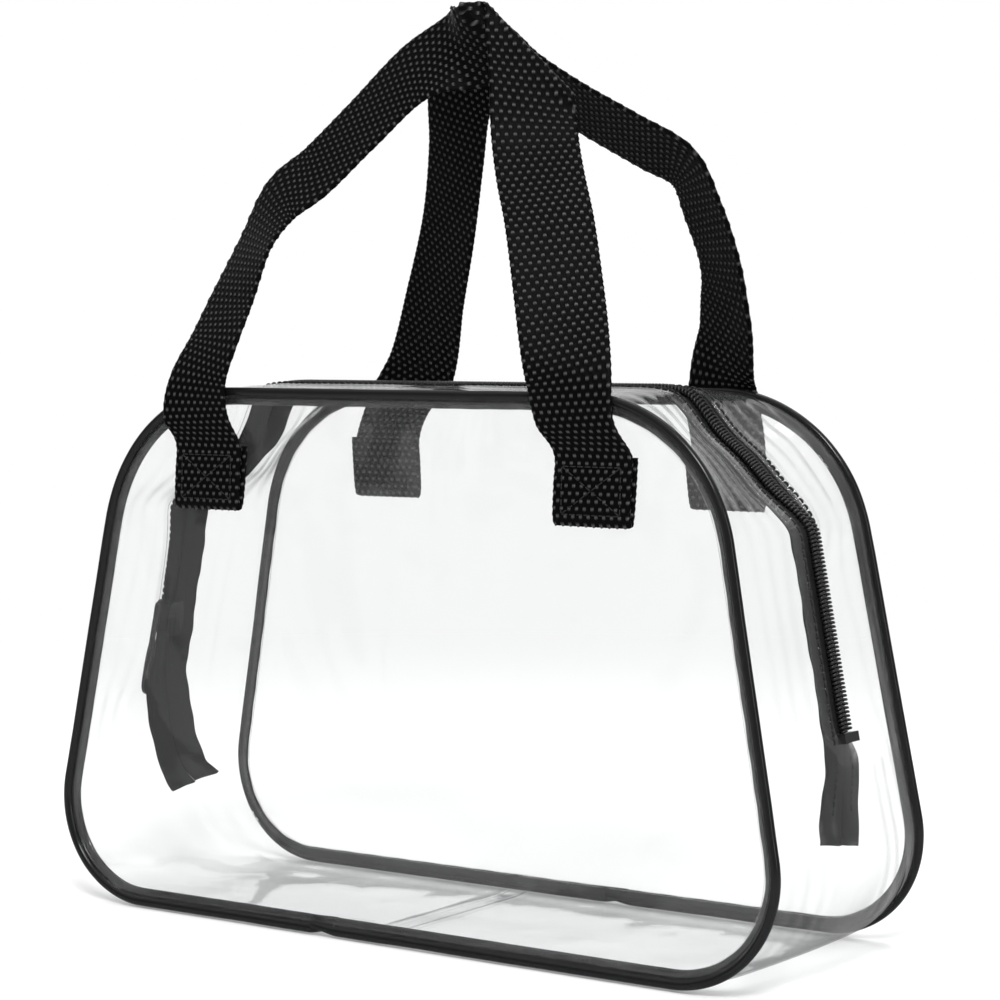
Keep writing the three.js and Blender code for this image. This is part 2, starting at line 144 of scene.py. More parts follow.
SHOULDER_HEIGHT = BODY_HEIGHT - SHOULDER_RADIUS
walk = np.vstack(
    [
        [[0, 0, -QUARTER]],
        corner_walk(1, FOOT_RADIUS, FOOT_RADIUS, -QUARTER, LEAN),
        corner_walk(1, SHOULDER_RADIUS, SHOULDER_HEIGHT, LEAN, QUARTER),
        corner_walk(-1, SHOULDER_RADIUS, SHOULDER_HEIGHT, QUARTER, math.pi - LEAN),
        corner_walk(-1, FOOT_RADIUS, FOOT_RADIUS, math.pi - LEAN, 3 * QUARTER),
        [[0, 0, 3 * QUARTER]],
    ]
)
walk_length = np.concatenate([[0], np.cumsum(np.hypot(*np.diff(walk[:, :2], axis=0).T))])
PERIMETER = walk_length[-1]


def outline(s):
    """x, z and outward normal of the outline, s millimetres anticlockwise from the foot's middle."""
    s = np.mod(s, PERIMETER)
    x, z, angle = (np.interp(s, walk_length, walk[:, k]) for k in range(3))
    return x, z, np.cos(angle), np.sin(angle)


def right_side(z):
    """Where the right side of the outline reaches height z."""
    return np.interp(z, walk[1:121, 1], walk_length[1:121])


def left_side(z):
    return PERIMETER - right_side(z)


def bow(s, y):
    """How far the gusset stands out past the outline: round sides and top, sunken shoulders, flat foot."""
    _, _, nx, nz = outline(s)
    inward = np.clip(1 - np.abs(y) / GUSSET_REACH, 0, 1)
    rounded = SIDE_BOW * nx**2 + TOP_BOW * np.clip(nz, 0, None) ** 2
    turning = 2 * np.abs(nx) * np.clip(nz, 0, None)
    sunken = np.where(nx > 0, RIGHT_DIP, LEFT_DIP) * smoothstep(turning, math.sin(2 * LEAN), 1)
    sagged = FOOT_SAG * np.clip(nz, None, 0) ** 2
    return (rounded - sunken) * inward * (2 - inward) + sagged * np.minimum(1, 4 * inward)


def valley(s, y):
    """How far one flank of the zip falls inward: the rear flank on the right, the front one on the left."""
    x, z, _, _ = outline(s)
    depth = np.where(x > 0, RIGHT_VALLEY, LEFT_VALLEY)
    depth = depth * smoothstep(z, 62, 84) * (1 - smoothstep(z, 118, 150))
    flank = np.clip(y * np.sign(x) - 2.2, 0, None) / 10  # starts just past the coil
    rim = np.clip(1 - (np.abs(y) / GUSSET_REACH) ** 4, 0, 1)
    return depth * rim * flank * np.exp(1 - flank)


def taper(z):
    return 1 - DRAW_IN * z


def beside_outline(s, out, y):
    """Points out millimetres outward from the outline and y to the back, as measured at the foot."""
    x, z, nx, nz = outline(s)
    height = z + nz * out
    return np.stack(np.broadcast_arrays(x + nx * out, y * taper(height), height), -1)


def over_zip(s, out, y):
    """Points out millimetres from the gusset's line, at y from the middle of the zip."""
    x, z, nx, nz = outline(s)
    reach = out + bow(s, y / taper(z)) - valley(s, y)
    return np.stack(np.broadcast_arrays(x + nx * reach, y, z + nz * reach), -1)


def smoothstep(value, low, high):
    t = np.clip((value - low) / (high - low), 0, 1)
    return t * t * (3 - 2 * t)


def waves(a, b, seed, count=7, shortest=9, longest=60):
    """Smooth irregular ripple of about one unit over the plane of a and b."""
    rng = np.random.default_rng(seed)
    total = np.zeros(np.broadcast(a, b).shape)
    for _ in range(count):
        turn, phase = rng.uniform(0, 2 * math.pi, 2)
        size = rng.uniform(shortest, longest)
        along = (a * math.cos(turn) + b * math.sin(turn)) * 2 * math.pi / size
        total += size / longest * np.sin(along + phase)
    return total / math.sqrt(count)


# ---------------------------------------------------------------- meshes


def grid_faces(rows, columns, round_rows=False, round_columns=False, first=0):
    """Quads of a grid of points stored row by row, which may close on itself either way."""
    r, c = np.meshgrid(
        np.arange(rows if round_rows else rows - 1),
        np.arange(columns if round_columns else columns - 1),
        indexing="ij",
    )
    below, beside = (r + 1) % rows * columns, (c + 1) % columns
    quads = [r * columns + c, below + c, below + beside, r * columns + beside]
    return (np.stack(quads, -1).reshape(-1, 4) + first).tolist()


def mesh_object(name, points, faces, material):
    """Object with smooth shading, from points in millimetres."""
    mesh = bpy.data.meshes.new(name)
    mesh.from_pydata((np.reshape(points, (-1, 3)) * MM).tolist(), [], faces)
    mesh.polygons.foreach_set("use_smooth", [True] * len(mesh.polygons))
    mesh.materials.append(material)
    obj = bpy.data.objects.new(name, mesh)
    bpy.context.scene.collection.objects.link(obj)
    return obj


def add_uv(obj, uv):
    """Gives every point its place on the cloth, across and along: in millimetres, or in yarns."""
    layer = obj.data.uv_layers.new(name="cloth")
    index = np.empty(len(obj.data.loops), np.int32)
    obj.data.loops.foreach_get("vertex_index", index)
    layer.data.foreach_set("uv", np.reshape(uv, (-1, 2))[index].astype(np.float32).ravel())


class Parts:
    """Collects grids of points into one mesh."""

    def __init__(self):
        self.points, self.faces, self.count = [], [], 0

    def add(self, grid, round_rows=False, round_columns=False, caps=False, leave_out=None):
        rows, columns = grid.shape[:2]
        faces = grid_faces(rows, columns, round_rows, round_columns, self.count)
        if leave_out is not None:
            faces = [face for face, gone in zip(faces, leave_out.ravel()) if not gone]
        self.faces += faces
        if caps:
            self.faces.append(list(range(self.count, self.count + columns)))
            last = self.count + (rows - 1) * columns
            self.faces.append(list(range(last + columns - 1, last - 1, -1)))
        self.points.append(grid.reshape(-1, 3))
        self.count += rows * columns

    def build(self, name, material):
        obj = mesh_object(name, np.vstack(self.points), self.faces, material)
        return face_outward(obj)


def face_outward(obj):
    work = bmesh.new()
    work.from_mesh(obj.data)
    bmesh.ops.recalc_face_normals(work, faces=work.faces)
    work.to_mesh(obj.data)
    work.free()
    return obj


def thicken(obj, thickness, levels=0):
    """Turns a sheet into a closed one of that thickness, made smoother first."""
    if levels:
        smoother = obj.modifiers.new("smoother", "SUBSURF")
        smoother.levels = smoother.render_levels = levels
    solid = obj.modifiers.new("thickness", "SOLIDIFY")
    solid.thickness = thickness * MM
    solid.offset = 0
    solid.use_quality_normals = True
    return obj


def wire(path, radius, sides, normal):
    """Rings of points round a path, with normal giving one direction square to it."""
    tangent = np.gradient(path, axis=0)
    tangent /= np.linalg.norm(tangent, axis=1, keepdims=True)
    side = np.cross(tangent, normal)
    side /= np.linalg.norm(side, axis=1, keepdims=True)
    up = np.cross(side, tangent)
    angle = np.linspace(0, 2 * math.pi, sides, endpoint=False)[None, :, None]
    rings = side[:, None] * np.cos(angle) + up[:, None] * np.sin(angle)
    return path[:, None] + rings * np.reshape(radius, (-1, 1, 1))


def dress(obj, body, slot, *nodes):
    """obj rides on a body and stands for CAD nodes, which it hides; slot is not used."""
    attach(obj, body)
    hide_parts(*nodes)
    return obj


# ---------------------------------------------------------------- materials


def new_material(name):
    material = bpy.data.materials.new(name)
    material.use_nodes = True
    material.node_tree.nodes.clear()
    return material, material.node_tree


def node(tree, kind, inputs=None, **settings):
    """A shader node with its settings and inputs; an input may be a value or another node's socket."""
    made = tree.nodes.new("ShaderNode" + kind)
    for key, value in settings.items():
        setattr(made, key, value)
    for key, value in (inputs or {}).items():
        if isinstance(value, bpy.types.NodeSocket):
            tree.links.new(value, made.inputs[key])
        else:
            made.inputs[key].default_value = value
    return made


def maths(tree, operation, a, b=0.0, clamp=False):
    return node(tree, "Math", {0: a, 1: b}, operation=operation, use_clamp=clamp).outputs[0]


def noise(tree, scale, detail=3.0, vector=None, stretch=None):
    """Noise in the object's own space, scale in bumps per metre, or over another vector."""
    if vector is None:
        vector = node(tree, "TexCoord").outputs["Object"]
    if stretch:
        mapping = node(tree, "Mapping", {"Vector": vector, "Scale": stretch})
        vector = mapping.outputs["Vector"]
    made = node(tree, "TexNoise", {"Vector": vector, "Scale": scale, "Detail": detail})
    return made.outputs["Fac"]


def bump(tree, height, depth, strength=1.0, under=None):
    """Turns a height of 0 to 1 into a bump, depth in metres."""
    inputs = {"Height": height, "Distance": depth, "Strength": strength}
    if under is not None:
        inputs["Normal"] = under
    return node(tree, "Bump", inputs).outputs["Normal"]


def finish_material(material, tree, shader):
    output = node(tree, "OutputMaterial")
    tree.links.new(shader, output.inputs["Surface"])
    return material


def clear_vinyl():
    """Clear sheet: lets nearly all light through, with a faint haze and a mirror-like skin."""
    material, tree = new_material("clear_vinyl")
    slow = bump(tree, noise(tree, 30, 1.5), 0.0016)
    skin = bump(tree, noise(tree, 210, 2), 0.00007, under=slow)
    facing = node(tree, "LayerWeight", {"Blend": 0.5, "Normal": skin}).outputs["Facing"]
    edge = maths(tree, "POWER", facing, 5.0)
    tint = node(
        tree,
        "Mix",
        {"Factor": edge, "A": (0.984, 0.986, 0.986, 1), "B": (0.76, 0.77, 0.77, 1)},
        data_type="RGBA",
    )
    through = node(tree, "BsdfTransparent", {"Color": tint.outputs["Result"]})
    smears = node(
        tree, "MapRange", {"Value": noise(tree, 14, 4), "To Min": 0.004, "To Max": 0.014}
    ).outputs["Result"]
    haze = node(tree, "CombineColor", {"Red": smears, "Green": smears, "Blue": smears})
    veil = node(tree, "BsdfDiffuse", {"Color": haze.outputs[0]})
    body = node(tree, "AddShader", {0: through.outputs[0], 1: veil.outputs[0]})
    gloss = node(
        tree, "BsdfAnisotropic", {"Color": (1, 1, 1, 1), "Roughness": 0.04, "Normal": skin}
    )
    steep = maths(tree, "POWER", facing, 4.5)
    mirror = node(tree, "MapRange", {"Value": steep, "To Min": 0.026, "To Max": 0.62})
    whole = node(
        tree, "MixShader", {0: mirror.outputs["Result"], 1: body.outputs[0], 2: gloss.outputs[0]}
    )
    return finish_material(material, tree, whole.outputs[0])


def black_vinyl():
    """Glossy black piping with a faint orange-peel and rubbed patches."""
    material, tree = new_material("black_piping")
    wear = noise(tree, 60, 4)
    rough = node(tree, "MapRange", {"Value": wear, "To Min": 0.12, "To Max": 0.3})
    skin = bump(tree, noise(tree, 900, 2), 0.00003)
    skin = bump(tree, noise(tree, 70, 2), 0.0004, under=skin)
    shader = node(
        tree,
        "BsdfPrincipled",
        {
            "Base Color": (0.009, 0.009, 0.0095, 1),
            "Roughness": rough.outputs["Result"],
            "Normal": skin,
            "Specular IOR Level": 0.3,
        },
    )
    return finish_material(material, tree, shader.outputs[0])


def cloth_coordinate(tree):
    return node(tree, "UVMap", uv_map="cloth").outputs["UV"]


def webbing_cloth():
    """Black woven webbing, laid out in yarns: each crossing's crown is glossier and carries a painted
    highlight in its base colour, and painted shade keeps the gaps dark.
    """
    material, tree = new_material("webbing")
    place = cloth_coordinate(tree)
    yarns = node(tree, "SeparateXYZ", {0: place}).outputs
    warp, weft = (
        maths(tree, "SINE", maths(tree, "MULTIPLY", yarns[axis], math.pi)) for axis in ("X", "Y")
    )
    crossing = maths(tree, "MULTIPLY", warp, weft)
    ridge = maths(tree, "POWER", maths(tree, "ABSOLUTE", weft), 5.0)
    broad = node(
        tree, "MapRange", {"Value": crossing, "From Min": 0.1, "From Max": 0.45}
    ).outputs["Result"]
    crown = maths(tree, "MULTIPLY", broad, ridge)
    fibres = noise(tree, 1, 3, place, (9.0, 1.8, 1))
    lint = noise(tree, 1400, 2)
    relief = bump(tree, crown, 0.0003)
    relief = bump(tree, fibres, 0.00012, under=relief)
    relief = bump(tree, lint, 0.00004, under=relief)
    painted_glint_mask = maths(tree, "MULTIPLY", crown, fibres)
    # Base colour with painted light: a painted highlight on the yarn crowns and painted shade in the gaps
    # between them.
    shade = node(
        tree,
        "Mix",
        {"Factor": painted_glint_mask, "A": (0.0022, 0.0022, 0.0024, 1), "B": (0.1, 0.1, 0.102, 1)},
        data_type="RGBA",
    )
    rough = node(tree, "MapRange", {"Value": lint, "To Min": 0.3, "To Max": 0.45})
    gloss = node(tree, "MapRange", {"Value": painted_glint_mask, "To Min": 0.04, "To Max": 0.9})
    shader = node(
        tree,
        "BsdfPrincipled",
        {
            "Base Color": shade.outputs["Result"],
            "Roughness": rough.outputs["Result"],
            "Normal": relief,
            "Specular IOR Level": gloss.outputs["Result"],
        },
    )
    return finish_material(material, tree, shader.outputs[0])


def tape_cloth():
    """Knitted zip tape: narrow ribs along it and a cross grain."""
    material, tree = new_material("zip_tape")
    place = cloth_coordinate(tree)
    ribs = node(
        tree, "TexWave", {"Vector": place, "Scale": 0.55, "Distortion": 0.4}, bands_direction="X"
    ).outputs["Fac"]
    grain = node(
        tree, "TexWave", {"Vector": place, "Scale": 0.75, "Distortion": 0.8}, bands_direction="Y"
    ).outputs["Fac"]
    weave = bump(tree, ribs, 0.00025)
    weave = bump(tree, grain, 0.0002, under=weave)
    shade = node(
        tree,
        "Mix",
        {"Factor": grain, "A": (0.008, 0.008, 0.0085, 1), "B": (0.026, 0.026, 0.027, 1)},
        data_type="RGBA",
    )
    shader = node(
        tree,
        "BsdfPrincipled",
        {"Base Color": shade.outputs["Result"], "Roughness": 0.7, "Normal": weave},
    )
    open_weave = node(tree, "BsdfTransparent", {"Color": (0.24, 0.24, 0.24, 1)})
    whole = node(tree, "MixShader", {0: 0.7, 1: open_weave.outputs[0], 2: shader.outputs[0]})
    return finish_material(material, tree, whole.outputs[0])


def dark_plain(name, colour, rough_low, rough_high, grain, metallic=0.0):
    """Dark nylon, thread or painted metal: a grainy finish of uneven gloss."""
    material, tree = new_material(name)
    patches = noise(tree, grain, 3)
    rough = node(
        tree, "MapRange", {"Value": patches, "To Min": rough_low, "To Max": rough_high}
    )
    surface = bump(tree, noise(tree, grain * 4, 2), 0.00004)
    shader = node(
        tree,
        "BsdfPrincipled",
        {
            "Base Color": (*colour, 1),
            "Roughness": rough.outputs["Result"],
            "Normal": surface,
            "Metallic": metallic,
        },
    )
    return finish_material(material, tree, shader.outputs[0])


# ---------------------------------------------------------------- clear faces

# The seam allowance of a face beside the piping: out from the outline and forward of the seam plane.
FACE_HEM = [
    (-4.7, 0),
    (-4.0, 0.02),
    (-3.62, 0.14),
    (-3.55, 0.36),
    (-3.85, 0.55),
    (-4.5, 0.7),
    (-5.9, 1.22),
]
FACE_COLUMNS, FACE_ROWS = 72, 50


def boundary_stations():
    """Stations of the four edges of a face's grid, which meet half way round each corner."""
    foot_corner = right_side(FOOT_RADIUS * (1 - math.cos(math.radians(50))))
    shoulder = right_side(SHOULDER_HEIGHT + SHOULDER_RADIUS * math.sin(math.radians(50)))
    foot = np.linspace(-foot_corner, foot_corner, FACE_COLUMNS + 1)
    side = np.linspace(foot_corner, shoulder, FACE_ROWS + 1)
    top = np.linspace(PERIMETER - shoulder, shoulder, FACE_COLUMNS + 1)
    return foot, side, top, -side


def face_grid():
    """Flat grid of points filling the outline, rows from the foot up, as x and z."""
    foot, right, top, left = (
        beside_outline(s, FACE_HEM[0][0], 0)[:, [0, 2]] for s in boundary_stations()
    )
    u = np.linspace(0, 1, FACE_COLUMNS + 1)[None, :, None]
    v = np.linspace(0, 1, FACE_ROWS + 1)[:, None, None]
    across = (1 - u) * left[:, None] + u * right[:, None]
    up = (1 - v) * foot[None] + v * top[None]
    corners = (1 - u) * (1 - v) * foot[0] + u * (1 - v) * foot[-1]
    corners = corners + (1 - u) * v * top[0] + u * v * top[-1]
    return across + up - corners


def crease(x, z, start, end, width):
    """A sharp fold line of unit height from start to end, dying out at both ends."""
    start, end = np.array(start, float), np.array(end, float)
    run = end - start
    length = np.linalg.norm(run)
    along = ((x - start[0]) * run[0] + (z - start[1]) * run[1]) / length
    away = ((x - start[0]) * run[1] - (z - start[1]) * run[0]) / length
    ends = smoothstep(along, 0, length * 0.3) * (1 - smoothstep(along, length * 0.7, length))
    return ends * np.exp(-np.abs(away) / width)


def simulate_sheet(obj, held, growth, frames):
    """Lets a slightly oversized sheet settle between its held edges and keeps the settled shape."""
    group = obj.vertex_groups.new(name="held")
    group.add([int(i) for i in held], 1.0, "REPLACE")
    cloth = obj.modifiers.new("settle", "CLOTH")
    settings = cloth.settings
    settings.quality = 7
    settings.mass = 0.25
    settings.tension_stiffness = settings.compression_stiffness = 30
    settings.shear_stiffness = 20
    settings.bending_stiffness = 3
    settings.vertex_group_mass = "held"
    settings.shrink_min = -growth
    settings.effector_weights.gravity = 0.5
    cloth.collision_settings.use_collision = False
    cloth.point_cache.frame_end = frames
    scene = bpy.context.scene
    for number in range(1, frames + 1):
        scene.frame_set(number)
    settled = obj.evaluated_get(bpy.context.evaluated_depsgraph_get())
    shape = np.empty(len(obj.data.vertices) * 3)
    settled.data.vertices.foreach_get("co", shape)
    obj.modifiers.remove(cloth)
    scene.frame_set(1)
    return shape.reshape(-1, 3)


def face_panel(name, turn, seed, material, creases):
    """One clear face: turn is 1 for the front and -1 for the back, seen from behind."""
    flat = face_grid()
    x, z = flat[..., 0], flat[..., 1]
    seed_wave = waves(x, z, seed, 9, 25, 80)
    inner = np.zeros(x.shape, bool)
    inner[1:-1, 1:-1] = True
    plane = FOOT_DEPTH / 2 * taper(z)
    points = np.stack([x, -plane + 0.5 * seed_wave * inner, z], -1)
    obj = mesh_object(name, points, grid_faces(*x.shape), material)
    held = np.flatnonzero(~inner.ravel())
    settled = simulate_sheet(obj, held, 0.006, 36).reshape(*x.shape, 3) / MM
    points[..., 1] = -plane + 0.75 * np.clip(settled[..., 1] + plane, -4, 4)
    for start, end, height, width in creases:
        points[..., 1] -= height * inner * crease(x, z, start, end, width)
    bpy.data.objects.remove(obj)

    foot, side, top, left = boundary_stations()
    stations = np.concatenate([foot[:-1], side[:-1], top[::-1][:-1], left[::-1][:-1]])
    last_row, last_column = x.shape[0] - 1, x.shape[1] - 1
    index = np.arange(x.size).reshape(x.shape)
    edge = np.concatenate(
        [index[0, :-1], index[:-1, last_column], index[last_row, ::-1][:-1], index[::-1, 0][:-1]]
    )
    rings = [beside_outline(stations, out, back - FOOT_DEPTH / 2) for out, back in FACE_HEM[1:]]
    ragged = 0.12 * np.sin(stations * 0.9) + 0.08 * np.sin(stations * 2.3)
    rings[-1] = rings[-1] + np.stack([ragged * 0, ragged, ragged * 0], -1)
    faces = grid_faces(*x.shape)
    first = x.size
    ring_index = [edge] + [first + k * len(edge) + np.arange(len(edge)) for k in range(len(rings))]
    for inner_ring, outer_ring in zip(ring_index, ring_index[1:]):
        quads = [inner_ring, outer_ring, np.roll(outer_ring, -1), np.roll(inner_ring, -1)]
        faces += np.stack(quads, -1).tolist()
    whole = np.vstack([points.reshape(-1, 3)] + rings)
    whole[:, :2] *= turn
    panel = face_outward(mesh_object(name, whole, faces, material))
    thicken(panel, SHEET, 1)
    return panel


# ---------------------------------------------------------------- gusset

# The gusset's own allowance beside the piping: out from the outline and back from the seam plane.
GUSSET_HEM = [(-1.75, 2.35), (-2.1, 1.95), (-2.7, 1.65), (-3.4, 1.78), (-4.3, 2.15), (-5.5, 2.7)]
# The hem folded under the slot's edge: distance from that edge and height over the band's own level.
SLOT_HEM = [(0.02, 0.42), (0.1, 0.2), (0.5, 0.04), (1.6, 0), (3, 0), (HEM_WIDTH, 0)]
HEM_LIFT = 0.62


def gusset_ripple(s, y):
    """Unevenness of the gusset, nothing at the seams and where it lies on the ground."""
    _, _, nx, nz = outline(s)
    turning = smoothstep(np.abs(nx), 0.05, 0.5) * smoothstep(nz, 0.3, 0.9)
    free = np.sin(np.clip((GUSSET_REACH - np.abs(y)) / (GUSSET_REACH - 12), 0, 1) * math.pi)
    broad = waves(s, 1.6 * y, 4, 8, 20, 70)
    long_folds = np.sin(y * 0.75 + 1.4 * np.sin(s / 31) + s / 60)
    radial = np.sin(s / 3.1 + 0.8 * np.sin(y / 6)) * smoothstep(np.abs(y), 20, 40)
    above_ground = 1 - smoothstep(-nz, 0.5, 0.95)
    ripple = 0.55 * broad + (0.28 + 0.3 * turning) * long_folds + 0.3 * turning * radial
    return free * above_ground * ripple


def slot_half_width(s):
    """Half of the slot's width, which closes in a round end; next to nothing past the ends."""
    half = SLOT_WIDTH / 2
    inside = np.minimum(s - right_side(SLOT_END), left_side(SLOT_END) - s)
    closing = 1 - np.clip(inside / half, 0, 1)
    return np.maximum(half * np.sqrt(1 - closing**2), 0.5), inside


def gusset(material):
    """The band from its lap seam under the bag right round, with the hemmed slot for the zip."""
    s = np.arange(SEAM_X, PERIMETER + SEAM_X + SEAM_LAP, 1.9)[:, None]
    _, z, _, _ = outline(s)
    half, inside = slot_half_width(s)
    rim = (GUSSET_REACH - 0.9) * taper(z)
    outward = np.linspace(0, 1, 26)[None] ** 1.3
    flank = half + (rim - half) * outward
    middle = half * np.linspace(-1, 1, 7)[None, 1:-1]
    y = np.hstack([-flank[:, ::-1], middle, flank])
    hemmed = smoothstep(inside, -5, 1)
    lift = HEM_LIFT * hemmed * (1 - smoothstep(np.abs(y), half + HEM_WIDTH, half + HEM_WIDTH + 2.5))
    lap = 0.8 * smoothstep(s, PERIMETER + SEAM_X - 4, PERIMETER + SEAM_X)
    height = lift - lap - PIPING_RADIUS + gusset_ripple(s, y / taper(z))
    front, rear = (
        [beside_outline(s, out - lap, side * (FOOT_DEPTH / 2 - back)) for out, back in GUSSET_HEM]
        for side in (-1, 1)
    )
    grid = np.concatenate(front[::-1] + [over_zip(s, height, y)] + rear, 1)
    first = len(GUSSET_HEM) + outward.size - 1
    column = np.arange(grid.shape[1] - 1)[None]
    in_slot = (column >= first) & (column < first + middle.shape[1] + 1)
    parts = Parts()
    parts.add(grid, leave_out=in_slot & (inside[:-1] > 0) & (inside[1:] > 0))
    beside_slot = s[inside[:, 0] > 0]
    half, _ = slot_half_width(beside_slot)
    for side in (-1, 1):
        hem = [
            over_zip(beside_slot, up - PIPING_RADIUS, side * (half + away)) for away, up in SLOT_HEM
        ]
        parts.add(np.concatenate(hem, 1))
    return thicken(parts.build("gusset_vinyl", material), SHEET, 1)


# ---------------------------------------------------------------- piping


def piping(name, turn, seed, material):
    """Bulb and flat flange in one profile, swept round the outline, its ends crossing under the bag."""
    overlap = 5
    s = np.arange(PIPING_JOINT_X - overlap, PERIMETER + PIPING_JOINT_X + overlap, 1.25)
    from_end = np.minimum(s - s[0], s[-1] - s)
    ending = 1 - smoothstep(from_end, 0, 11)
    first_end = s < PERIMETER / 2
    radius = PIPING_RADIUS * (1 + 0.035 * waves(s, 0 * s, seed, 8, 6, 40)) * (1 - 0.3 * ending)
    rise = -PIPING_RADIUS - 0.1 * waves(s, 0 * s, seed + 1, 6, 18, 60) - 1.1 * ending
    shift = 0.1 * waves(s, 0 * s, seed + 2, 6, 18, 60) + np.where(first_end, -0.7, 0.9) * ending
    rise = np.minimum(rise, -radius)
    middle = math.pi - FLANGE_TURN
    neck = math.asin(FLANGE_THICKNESS / 2 / PIPING_RADIUS)
    angle = np.linspace(middle + neck, middle - neck + 2 * math.pi, 18)
    bulb = np.stack([np.cos(angle), np.sin(angle)], 1)
    flange_at = np.array([0.35, 0.7, 1.0, 1.0, 0.7, 0.35]) * FLANGE_LENGTH + PIPING_RADIUS
    flange_side = np.array([1, 1, 1, -1, -1, -1]) * FLANGE_THICKNESS / 2 * -1
    along = np.array([math.cos(middle), math.sin(middle)])
    square = np.array([-math.sin(middle), math.cos(middle)])
    flange = flange_at[:, None] * along + flange_side[:, None] * square
    flange = flange[None] * (1 - 0.25 * ending)[:, None, None]
    flutter = 0.08 * np.sin(s * 0.5)[:, None, None]
    flange = flange + flutter * square * (flange_at > FLANGE_LENGTH)[:, None]
    profile = np.concatenate([bulb[None] * radius[:, None, None], flange], 1)
    out = rise[:, None] + profile[..., 0]
    y = shift[:, None] + profile[..., 1] - FOOT_DEPTH / 2
    grid = beside_outline(s[:, None], out, y)
    grid[..., :2] *= turn
    parts = Parts()
    parts.add(grid, round_columns=True, caps=True)
    return parts.build(name, material)


# ---------------------------------------------------------------- zip


def tape_level(s, y):
    """How loose the tape is, 0 to 1, and its middle's height: it hangs free past the ends of the slot."""
    _, z, _, _ = outline(s)
    let_go = SLOT_END + 6
    loose = np.clip((let_go - z) / (let_go - TAPE_LEFT_END - 1), 0, 1)
    fall = loose**1.5 * np.where(s < PERIMETER / 2, TAPE_RIGHT_FALL, TAPE_LEFT_FALL)
    flutter = loose * (0.8 * np.sin(s / 5) + 0.7 * np.sin(s / 9 + y / 6))
    return loose, TAPE_OUT - fall + flutter - 0.04 * loose * np.abs(y)


def zip_tape(name, side, material):
    """One half of the zip's tape, from its cut end inside the right of the bag to that on the left."""
    s = np.arange(right_side(TAPE_RIGHT_END), left_side(TAPE_LEFT_END), 1.5)[:, None]
    share = np.array([0.004, 0.02, 0.25, 0.45, 0.7, 0.9, 0.98, 1])
    share = np.concatenate([share, share[::-1]])
    level = np.array([0.5, 1, 1, 1, 1, 1, 1, 0.5])
    level = np.concatenate([level, -level[::-1]])
    y = side * TAPE_WIDTH * share[None] * (1 + 0.03 * np.sin(s / 4.5) + 0.02 * np.sin(s / 1.7))
    loose, middle = tape_level(s, y)
    grid = over_zip(s, middle + level[None] * TAPE_THICKNESS / 2, y)
    ragged = 0.35 * np.sin(y * 2.3) + 0.25 * np.sin(y * 5.1)
    slant = np.where(s < PERIMETER / 2, -0.25, 0.16)
    grid[..., 2] += (slant * y + ragged) * loose**3
    parts = Parts()
    parts.add(grid, round_columns=True, caps=True)
    obj = parts.build(name, material)
    add_uv(obj, np.stack(np.broadcast_arrays(np.abs(y), s), -1))
    return obj


def zip_coil(name, side, material):
    """A row of coils: a flattened helix whose turns sit between those of the other row."""
    start, end = right_side(SLOT_END + 4), left_side(SLOT_END + 4)
    per_turn = 10
    turns = int((end - start) / COIL_PITCH)
    phase = np.arange(turns * per_turn) * 2 * math.pi / per_turn
    s = start + COIL_PITCH * (phase / (2 * math.pi) + (0.5 if side > 0 else 0))
    middle = (COIL_REACH + 0.05) / 2
    y = side * (middle + (middle - COIL_WIRE) * np.cos(phase))
    out = COIL_OUT + 0.72 * np.sin(phase)
    path = over_zip(s, out, y)
    _, _, nx, nz = outline(s)
    along = np.stack([-nz, 0 * nx, nx], 1)
    parts = Parts()
    parts.add(wire(path, COIL_WIRE, 6, along), round_columns=True, caps=True)
    return parts.build(name, material)


def stitch(parts, start, end, normal, radius=0.42):
    """One stitch of thread, sunk at both ends."""
    start, end, normal = (np.asarray(v, float) for v in (start, end, normal))
    t = np.array([0, 0.08, 0.3, 0.5, 0.7, 0.92, 1.0])[:, None]
    height = np.array([-0.55, 0.1, 0.28, 0.32, 0.28, 0.1, -0.55])[:, None] * radius * 1.6
    path = start + (end - start) * t + normal * height
    thick = radius * np.array([0.5, 0.9, 1, 1, 1, 0.9, 0.5])
    parts.add(wire(path, thick, 7, normal), round_columns=True, caps=True)


def zip_stitching(material):
    """Stitches through the hem on both sides of the slot, and two rows down the tape's right end."""
    parts = Parts()
    low = SLOT_END + 1
    tape_row = 5.5
    on_top = SHEET / 2 - PIPING_RADIUS + 0.1
    for start in np.arange(right_side(low), left_side(low), STITCH_STEP):
        s = np.array([start, start + STITCH_LENGTH])
        _, inside = slot_half_width(s)
        lifted = on_top + HEM_LIFT * smoothstep(inside, -5, 1)
        _, _, nx, nz = outline(start)
        for side in (-1, 1):
            stitch(parts, *over_zip(s, lifted, side * STITCH_LINE), (nx, 0, nz))
    for start in np.arange(right_side(TAPE_RIGHT_END + 10), right_side(SLOT_END - 3), STITCH_STEP):
        s = np.array([start, start + STITCH_LENGTH])
        _, _, nx, nz = outline(start)
        for y in (-tape_row, tape_row):
            _, middle = tape_level(s, y)
            stitch(parts, *over_zip(s, middle + TAPE_THICKNESS / 2 + 0.1, y), (nx, 0, nz))
    return parts.build("zip_thread", material)


# ---------------------------------------------------------------- handles

